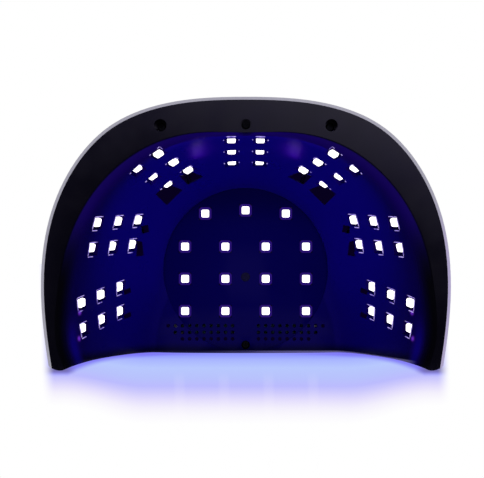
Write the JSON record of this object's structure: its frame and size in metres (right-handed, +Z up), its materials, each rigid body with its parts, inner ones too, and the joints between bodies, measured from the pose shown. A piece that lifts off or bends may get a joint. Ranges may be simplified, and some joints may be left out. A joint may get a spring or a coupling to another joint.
{
  "type": "uv led nail lamp",
  "caption": "Table lamp for curing gel nail polish: an arched shell over a dark hand cavity lined with domed UV LED lights, with timer buttons, display window and rear power socket.",
  "frame": {"origin": "middle of the footprint on the table plane, below the cavity", "axes": "+Z up, -Y towards the user (hand opening), +Y towards the power socket, +X to the lamp's left seen from the front; x = 0 is the plane of symmetry"},
  "size_m": [0.23, 0.154, 0.0972],
  "materials": {
    "cover_plastic": "pearl white, gloss",
    "housing_plastic": "black, polished",
    "board": "white solder mask",
    "control_board": "green solder mask",
    "led_package": "white moulded package",
    "led_lens": "clear lens, lit violet",
    "steel_screw": "zinc plated",
    "black_screw": "black oxide",
    "dark_window": "dark tinted",
    "button": "satin grey",
    "black_plastic": "black moulded",
    "white_plastic": "ivory moulded",
    "chip": "black epoxy",
    "capacitor": "sleeved can",
    "contact_metal": "plated",
    "wire_sleeve": "white sleeve",
    "lead_sleeve": "red sleeve"
  },
  "bodies": {
    "lamp": {"top_cover": "cover_plastic", "inner_housing": "housing_plastic", "back_led_board": "board", "back_led_packages": "led_package", "back_led_lenses": "led_lens", "left_shoulder_led_board": "board", "left_shoulder_led_packages": "led_package", "left_shoulder_led_lenses": "led_lens", "right_shoulder_led_board": "board", "right_shoulder_led_packages": "led_package", "right_shoulder_led_lenses": "led_lens", "left_side_led_board": "board", "left_side_led_packages": "led_package", "left_side_led_lenses": "led_lens", "right_side_led_board": "board", "right_side_led_packages": "led_package", "right_side_led_lenses": "led_lens", "left_front_side_led_board": "board", "left_front_side_led_packages": "led_package", "left_front_side_led_lenses": "led_lens", "right_front_side_led_board": "board", "right_front_side_led_packages": "led_package", "right_front_side_led_lenses": "led_lens", "ceiling_led_board": "board", "ceiling_led_packages": "led_package", "ceiling_led_lenses": "led_lens", "board_screws": "steel_screw", "housing_screws": "black_screw", "hand_sensor_lens": "dark_window", "hand_sensor_chip": "chip", "display_window": "dark_window", "display_module": "black_plastic", "control_board": "control_board", "capacitors": "capacitor", "inductor": "chip", "power_transistors": "chip", "controller_chip": "chip", "control_board_plugs": "white_plastic", "light_board_plugs": "white_plastic", "light_wires": "wire_sleeve", "power_leads": "lead_sleeve", "dc_socket_body": "black_plastic", "dc_socket_pin": "contact_metal", "dc_socket_contacts": "contact_metal", "switch_bodies": "black_plastic"},
    "timer_button_1_body": {"timer_button_1": "button", "switch_plunger_1": "black_plastic"},
    "timer_button_2_body": {"timer_button_2": "button", "switch_plunger_2": "black_plastic"},
    "timer_button_3_body": {"timer_button_3": "button", "switch_plunger_3": "black_plastic"},
    "timer_button_4_body": {"timer_button_4": "button", "switch_plunger_4": "black_plastic"}
  },
  "joints": [
    {"name": "timer_button_1_press", "type": "slide", "parent": "lamp", "child": "timer_button_1_body", "axis": [0, 0, -1], "range_m": [0, 0.0005], "stiffness_N_per_m": 3000, "springref_m": -0.0002},
    {"name": "timer_button_2_press", "type": "slide", "parent": "lamp", "child": "timer_button_2_body", "axis": [0, 0, -1], "range_m": [0, 0.0005], "stiffness_N_per_m": 3000, "springref_m": -0.0002},
    {"name": "timer_button_3_press", "type": "slide", "parent": "lamp", "child": "timer_button_3_body", "axis": [0, 0, -1], "range_m": [0, 0.0005], "stiffness_N_per_m": 3000, "springref_m": -0.0002},
    {"name": "timer_button_4_press", "type": "slide", "parent": "lamp", "child": "timer_button_4_body", "axis": [0, 0, -1], "range_m": [0, 0.0005], "stiffness_N_per_m": 3000, "springref_m": -0.0002}
  ]
}
